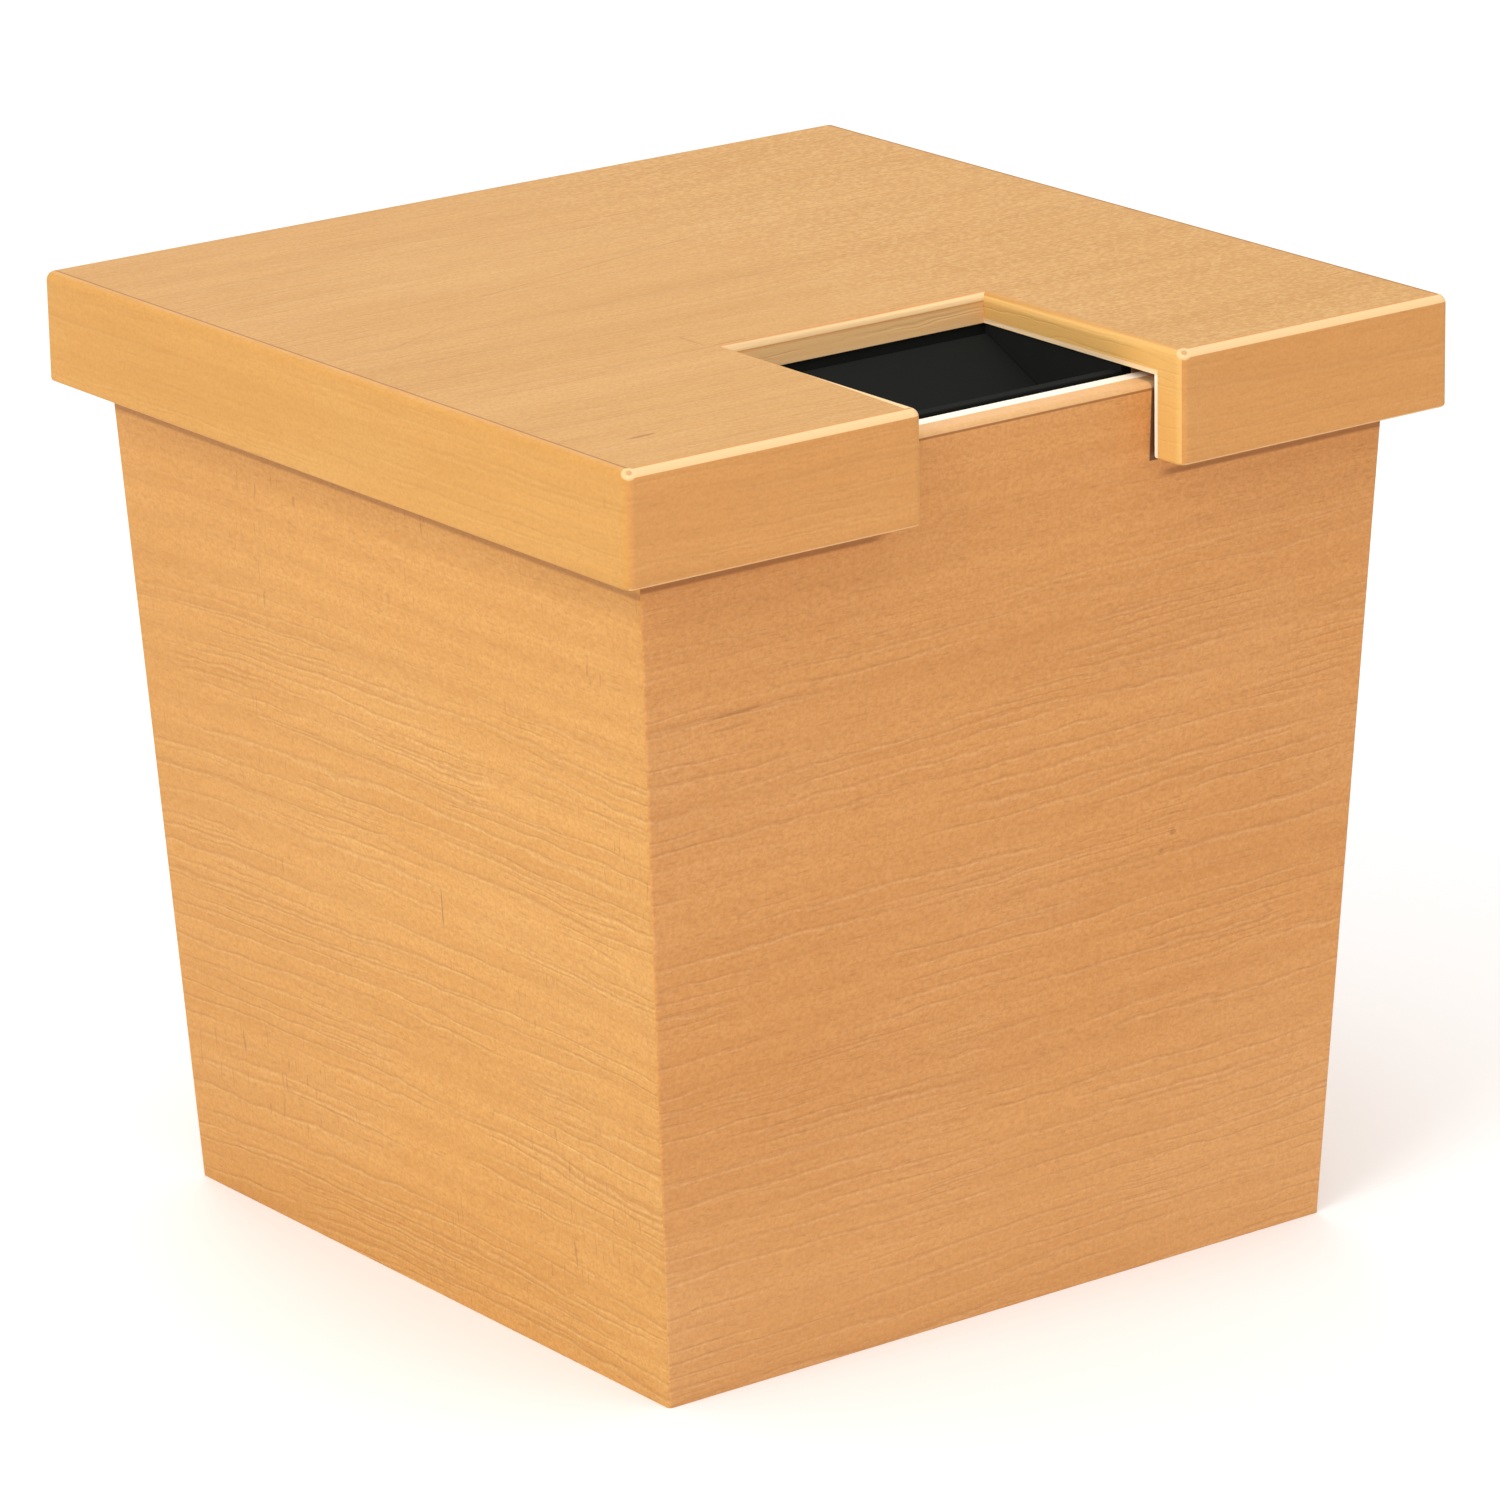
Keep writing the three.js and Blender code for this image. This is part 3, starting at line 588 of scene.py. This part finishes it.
def wall_top_line(shader):
    """The fine dark line where the front wall's rounded top edge meets its face."""
    z = axis(shader, Z_AXIS)
    outer = below(shader, axis(shader, Y_AXIS), -BODY_TOP_HALF + 3 * MM)
    over = above(shader, z, BODY_HEIGHT - 2.3 * MM)
    under = below(shader, z, BODY_HEIGHT - 1.6 * MM)
    return both(shader, over, under, outer)


def rail_gap_shadow(shader):
    """Painted shadow: the dark upright lines on the front wall beside the front rails' ends."""
    x = shader.math("ABSOLUTE", axis(shader, X_AXIS))
    high = above(shader, axis(shader, Z_AXIS), RAIL_LOW.z - 1 * MM)
    inner = above(shader, x, NOTCH_HALF - 0.5 * MM)
    outer = below(shader, x, NOTCH_HALF + 2.5 * MM)
    return both(shader, inner, outer, high, outside(shader))


def lid_side_seam(shader):
    """The fine line where the lid's side arris meets its top."""
    x = shader.math("ABSOLUTE", axis(shader, X_AXIS))
    high = above(shader, axis(shader, Z_AXIS), LID_TOP - 1 * MM)
    at = LID_HALF - LID_ARRIS
    return both(shader, above(shader, x, at - 0.45 * MM), below(shader, x, at + 0.2 * MM), high)


# ---------------------------------------------------------------- other materials


def batten():
    """Planed softwood, bare."""
    return wood("batten_softwood", X_AXIS, Y_AXIS, 8, spacing=2.2 * MM, wander=6 * MM, tint=(1.0, 1.2, 1.7))


def plywood():
    """The base panel: a rotary-cut face with wide wandering figure."""
    return wood("plywood", X_AXIS, Y_AXIS, 9, spacing=11 * MM, wander=60 * MM, tint=(0.95, 1.15, 1.6))


def matt_black():
    """Flat black paint with a faint mottle and fine orange peel."""
    shader = Shader("matt_black")
    mottle = shader.noise(shader.scaled(shader.place, (60.0, 60.0, 60.0)), detail=3.0)
    peel = shader.noise(shader.scaled(shader.place, (1800.0, 1800.0, 1800.0)), detail=2.0)
    colour = shader.mix(mottle, (0.0128, 0.0137, 0.0122), (0.0150, 0.0157, 0.0145))
    shader.set(Base_Color=colour, Roughness=shader.fade(mottle, 0.3, 0.7, 0.88, 0.96))
    shader.set(Specular_IOR_Level=0.04)
    shader.bump(peel, 0.15, 0.1 * MM)
    return shader.material


def edge_wear(shader):
    """1 on the eased edges, which stand out from the faces beside them."""
    pointiness = shader.node("ShaderNodeNewGeometry").outputs["Pointiness"]
    return shader.fade(pointiness, 0.52, 0.6)


def felt():
    """Pressed felt: matted fibres and a soft sheen."""
    shader = Shader("felt")
    fibres = shader.noise(shader.scaled(shader.place, (2600.0, 2600.0, 2600.0)), detail=4.0, distortion=1.5)
    colour = shader.mix(shader.fade(fibres, 0.3, 0.7), (0.030, 0.028, 0.026), (0.085, 0.078, 0.070))
    shader.set(Base_Color=colour, Roughness=shader.fade(fibres, 0.3, 0.7, 0.85, 1.0))
    shader.set(Sheen_Weight=0.4, Sheen_Roughness=0.5)
    shader.bump(fibres, 0.8, 0.3 * MM)
    return shader.material


def plated_steel(name, light, dark, rough, brushing):
    """Plated steel with fine brushing, a light haze and worn edges."""
    shader = Shader(name)
    streaks = shader.noise(shader.scaled(shader.place, brushing), detail=3.0, roughness=0.6)
    haze = shader.noise(shader.scaled(shader.place, (120.0, 120.0, 120.0)), detail=3.0)
    worn = tuple(min(1, channel * 1.2) for channel in light)
    colour = shader.mix(shader.fade(haze, 0.35, 0.7), light, dark)
    colour = shader.mix(shader.math("MULTIPLY", edge_wear(shader), 0.3), colour, worn)
    roughness = shader.math("ADD", shader.fade(streaks, 0.3, 0.7, 0.0, 0.14), rough)
    shader.set(Base_Color=colour, Metallic=1.0, Roughness=roughness)
    shader.bump(streaks, 0.12, 0.05 * MM)
    return shader.material


def zinc_plate():
    light = (0.56, 0.57, 0.58)
    dark = (0.40, 0.41, 0.43)
    return plated_steel("zinc_plate", light, dark, rough=0.3, brushing=(300, 300, 2200))


def bright_plate():
    light = (0.60, 0.60, 0.59)
    dark = (0.44, 0.44, 0.44)
    return plated_steel("bright_plate", light, dark, rough=0.16, brushing=(900, 900, 900))


def black_oxide():
    light = (0.045, 0.045, 0.047)
    dark = (0.02, 0.02, 0.02)
    return plated_steel("black_oxide", light, dark, rough=0.4, brushing=(800, 800, 800))


# ---------------------------------------------------------------- pieces


def finer_mesh(node, material):
    """A copy of a CAD node's mesh with its facets joined, so that it can be eased and smoothed."""
    mesh = frame["nodes"][node].data.copy()
    mesh.name = node + "_fine"
    work = bmesh.new()
    work.from_mesh(mesh)
    bmesh.ops.remove_doubles(work, verts=work.verts, dist=0.002 * MM)
    bmesh.ops.dissolve_limit(work, angle_limit=math.radians(0.5), verts=work.verts, edges=work.edges)
    work.to_mesh(mesh)
    work.free()
    mesh.materials.clear()
    mesh.materials.append(material)
    return mesh


def dress(node, material, ease=0.0, edge_materials=()):
    """Stands a finer copy in for a CAD node, with a tiny bevel on its edges where ease is set."""
    mesh = finer_mesh(node, material)
    piece = bpy.data.objects.new(node + "_fine", mesh)
    bpy.context.scene.collection.objects.link(piece)
    mesh.shade_smooth()
    mesh.set_sharp_from_angle(angle=math.radians(35))
    if edge_materials:
        assign_lid_faces(mesh, *edge_materials)
    if ease:
        bevel = piece.modifiers.new("eased_edges", "BEVEL")
        bevel.width = ease
        bevel.segments = 2
        bevel.limit_method = "ANGLE"
        bevel.angle_limit = math.radians(40)
        bevel.harden_normals = True
    weight = piece.modifiers.new("flat_faces", "WEIGHTED_NORMAL")
    weight.keep_sharp = True
    weight.weight = 80
    body = frame["nodes"][node]["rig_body"]
    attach(piece, body)
    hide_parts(node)


def assign_lid_faces(mesh, side_material, front_material):
    """Gives upright faces the material of their side, so that board and rail read as one; these copies of
    one beech are tinted by the way they face, as painted light and shade.
    """
    mesh.materials.append(side_material)
    mesh.materials.append(front_material)
    for face in mesh.polygons:
        x = abs(face.normal.x)
        y = abs(face.normal.y)
        if max(x, y) > 0.05:
            face.material_index = 1 if x > y else 2


SLOTS = {part["node"]: part["material_slot"] for part in frame["record"]["subparts"]}


def dress_walls():
    """Marks are a centre along and across the grain, half sizes, an angle and a strength."""
    streaks = [
        ((-102 * MM, 208.5 * MM), (11 * MM, 0.7 * MM), 2, 0.4),
        ((-104 * MM, 204.5 * MM), (9 * MM, 0.6 * MM), 2, 0.3),
    ]
    spots = [
        ((60 * MM, 138 * MM), (1.6 * MM, 1.0 * MM), 0, 0.4),
        ((55.5 * MM, 133 * MM), (1.2 * MM, 0.8 * MM), 0, 0.35),
    ]
    check = ((-24.5 * MM, 128 * MM), (0.4 * MM, 7.5 * MM), 0, 0.6)
    # The lines under the skirt and beside the rails' ends are painted shadow, the paler foot is painted
    # light from the floor, the deeper rear is painted shade, and the white top edge is a painted highlight.
    front_skirt_shadow = (front_skirt_shadow_line, STAIN_AND_SHADOW, 0.75)
    side_skirt_shadow = (skirt_shadow_line(SIDE_SHADOW_DROP), STAIN_AND_SHADOW, 0.5)
    painted_floor_bounce = (foot, HONEY_PALE, 0.16)
    painted_rear_shade = (rearward, HONEY_DARK, 0.16)
    edge = [
        (rail_gap_shadow, SHADOW, 0.9),
        (wall_top_arris, PALE_WEAR_AND_HIGHLIGHT, 0.4),
        (wall_top_line, STAIN_AND_SHADOW, 0.75),
        (wall_top_highlight, HIGHLIGHT_WHITE, 0.9),
    ]
    front = wood("wall_front_beech", X_AXIS, Z_AXIS, 1, FRONT_TINT, [*streaks, *spots],
                 [painted_floor_bounce, front_skirt_shadow, *edge], spacing=4.7 * MM, rise=-0.02, calm=(205 * MM, 240 * MM))
    left = wood("wall_left_beech", Y_AXIS, Z_AXIS, 2, LEFT_TINT, [check], [painted_rear_shade, side_skirt_shadow],
                spacing=5.0 * MM, wander=22 * MM, bow=0.12, peak=0.04, rise=0.02, lines=0.42, pale=0.32,
                bands=0.18, ticks=0.35, calm=(180 * MM, 220 * MM))
    rear = wood("wall_rear_beech", X_AXIS, Z_AXIS, 3, FRONT_TINT, (), [painted_floor_bounce, side_skirt_shadow], bow=-0.15)
    right = wood("wall_right_beech", Y_AXIS, Z_AXIS, 4, LEFT_TINT, (), [side_skirt_shadow], bow=0.2)
    for side, material in (("front", front), ("left", left), ("rear", rear), ("right", right)):
        dress("wall_" + side, material)


def dress_lid():
    """The board's top, and the sides and fronts that board and rails share."""
    scratches = [
        ((-124.5 * MM, -122.6 * MM), (6.0 * MM, 1.1 * MM), 3, 0.6),
        ((-29 * MM, 43.5 * MM), (74 * MM, 0.45 * MM), 11.7, 0.28),
        ((-52 * MM, -47 * MM), (0.45 * MM, 9 * MM), 0, 0.4),
        ((-44 * MM, -55.5 * MM), (9 * MM, 0.45 * MM), 0, 0.3),
        ((-105 * MM, 10 * MM), (30 * MM, 0.4 * MM), 24, 0.2),
    ]
    # A painted highlight on two corners, with a small dark dot within it.
    corner_glint_and_dot = [(corner_spots(2.1 * MM), PALE_WEAR_AND_HIGHLIGHT, 0.7), (corner_spots(0.9 * MM), HONEY_DARK, 0.6)]
    strip = (notch_left_highlight, PALE_WEAR_AND_HIGHLIGHT, 0.9)
    seam = (lid_side_seam, STAIN_AND_SHADOW, 0.75)
    # Painted shade on the upright corners, and a painted highlight on the lower edge round the notch.
    edges = [(lid_corner, CORNER_SHADE_HONEY, 0.2), (notch_lower_highlight, HIGHLIGHT_WHITE, 0.9)]
    cheek = (notch_cheek, CHEEK, 0.6)
    plain = {"bands": 0.08, "lines": 0.12, "pale": 0.10, "flecks": 0.08}
    plain.update(relief=0.25, grit=0.22, sand=0.2)
    rubbed = {**plain, "grit": 0.38, "lines": 0.2, "relief": 0.4, "sand": 1.5, "sandy": (-30 * MM, 70 * MM)}
    top = wood("lid_top_beech", X_AXIS, Y_AXIS, 5, TOP_SHEEN_TINT, scratches, [strip, seam, *corner_glint_and_dot],
               spacing=9 * MM, wander=30 * MM, **rubbed)
    sides = wood("lid_side_beech", Y_AXIS, Z_AXIS, 6, LID_SIDE_TINT, (),
                 [*edges, cheek, (cheek_highlight, HIGHLIGHT_WHITE, 0.9), strip, seam, *corner_glint_and_dot], **plain)
    fronts = wood("lid_front_beech", X_AXIS, Z_AXIS, 7, LID_FRONT_TINT, (),
                  [*edges, (notch_rear, NOTCH_REAR_PAINTED_LIGHT, 0.95), (front_arris, PALE_WEAR_AND_HIGHLIGHT, 0.9),
                   (cheek_highlight, HIGHLIGHT_WHITE, 0.9), (skirt_edge, PALE_WEAR_AND_HIGHLIGHT, 0.5), *corner_glint_and_dot], **plain)
    dress("lid_board", top, edge_materials=(sides, fronts))
    for side, material in (("left", sides), ("right", sides), ("rear", fronts)):
        dress("lid_rail_" + side, material)
    for side in ("front_left", "front_right"):
        dress("lid_rail_" + side, fronts, edge_materials=(sides, fronts))


def dress_inside():
    """Everything that isn't beech, by its material slot."""
    finishes = {
        "batten": (batten(), 0.5 * MM),
        "panel": (plywood(), 0.3 * MM),
        "chute_black": (matt_black(), 0.4 * MM),
        "felt": (felt(), 0.5 * MM),
        "steel": (zinc_plate(), 0.15 * MM),
        "lock_chrome": (bright_plate(), 0.15 * MM),
        "black_steel": (black_oxide(), 0.1 * MM),
    }
    for node, slot in SLOTS.items():
        if slot in finishes:
            material, ease = finishes[slot]
            dress(node, material, ease=ease)


# ---------------------------------------------------------------- stage


def add_floor():
    """A wide pale floor, a hair below the box."""
    mesh = bpy.data.meshes.new("floor")
    half = 14.0
    drop = 0.05 * MM
    corners = [(-half, -half, 0), (half, -half, 0), (half, half, 0), (-half, half, 0)]
    mesh.from_pydata(corners, [], [(0, 1, 2, 3)])
    floor = bpy.data.objects.new("floor", mesh)
    floor.location.z = -drop
    bpy.context.scene.collection.objects.link(floor)
    shader = Shader("floor_white")
    shader.set(Base_Color=(0.95, 0.95, 0.95, 1.0), Roughness=0.9, Specular_IOR_Level=0.1)
    mesh.materials.append(shader.material)


def add_softbox(name, azimuth, elevation, distance, size, power):
    """A square light at an azimuth clockwise from the front, aimed at the box."""
    data = bpy.data.lights.new(name, "AREA")
    data.size = size
    data.energy = power
    lamp = bpy.data.objects.new(name, data)
    turn = math.radians(azimuth)
    rise = math.radians(elevation)
    towards = Vector((-math.sin(turn) * math.cos(rise), -math.cos(turn) * math.cos(rise), math.sin(rise)))
    centre = Vector((0, 0, 0.15))
    facing_centre = towards.to_track_quat("Z", "Y").to_matrix().to_4x4()
    lamp.matrix_world = Matrix.Translation(centre + towards * distance) @ facing_centre
    bpy.context.scene.collection.objects.link(lamp)


def add_light():
    """A white surround and three softboxes."""
    world = bpy.data.worlds.new("studio")
    world.use_nodes = True
    background = world.node_tree.nodes["Background"]
    background.inputs["Color"].default_value = (1.0, 1.0, 1.0, 1.0)
    background.inputs["Strength"].default_value = 0.86
    bpy.context.scene.world = world
    add_softbox("key", azimuth=75, elevation=38, distance=3.0, size=1.6, power=37)
    add_softbox("top", azimuth=10, elevation=75, distance=3.0, size=1.8, power=17)
    add_softbox("rim", azimuth=200, elevation=40, distance=3.2, size=1.6, power=15)


bpy.context.scene.view_settings.view_transform = "Standard"
add_camera()
dress_walls()
dress_lid()
dress_inside()
add_floor()
add_light()
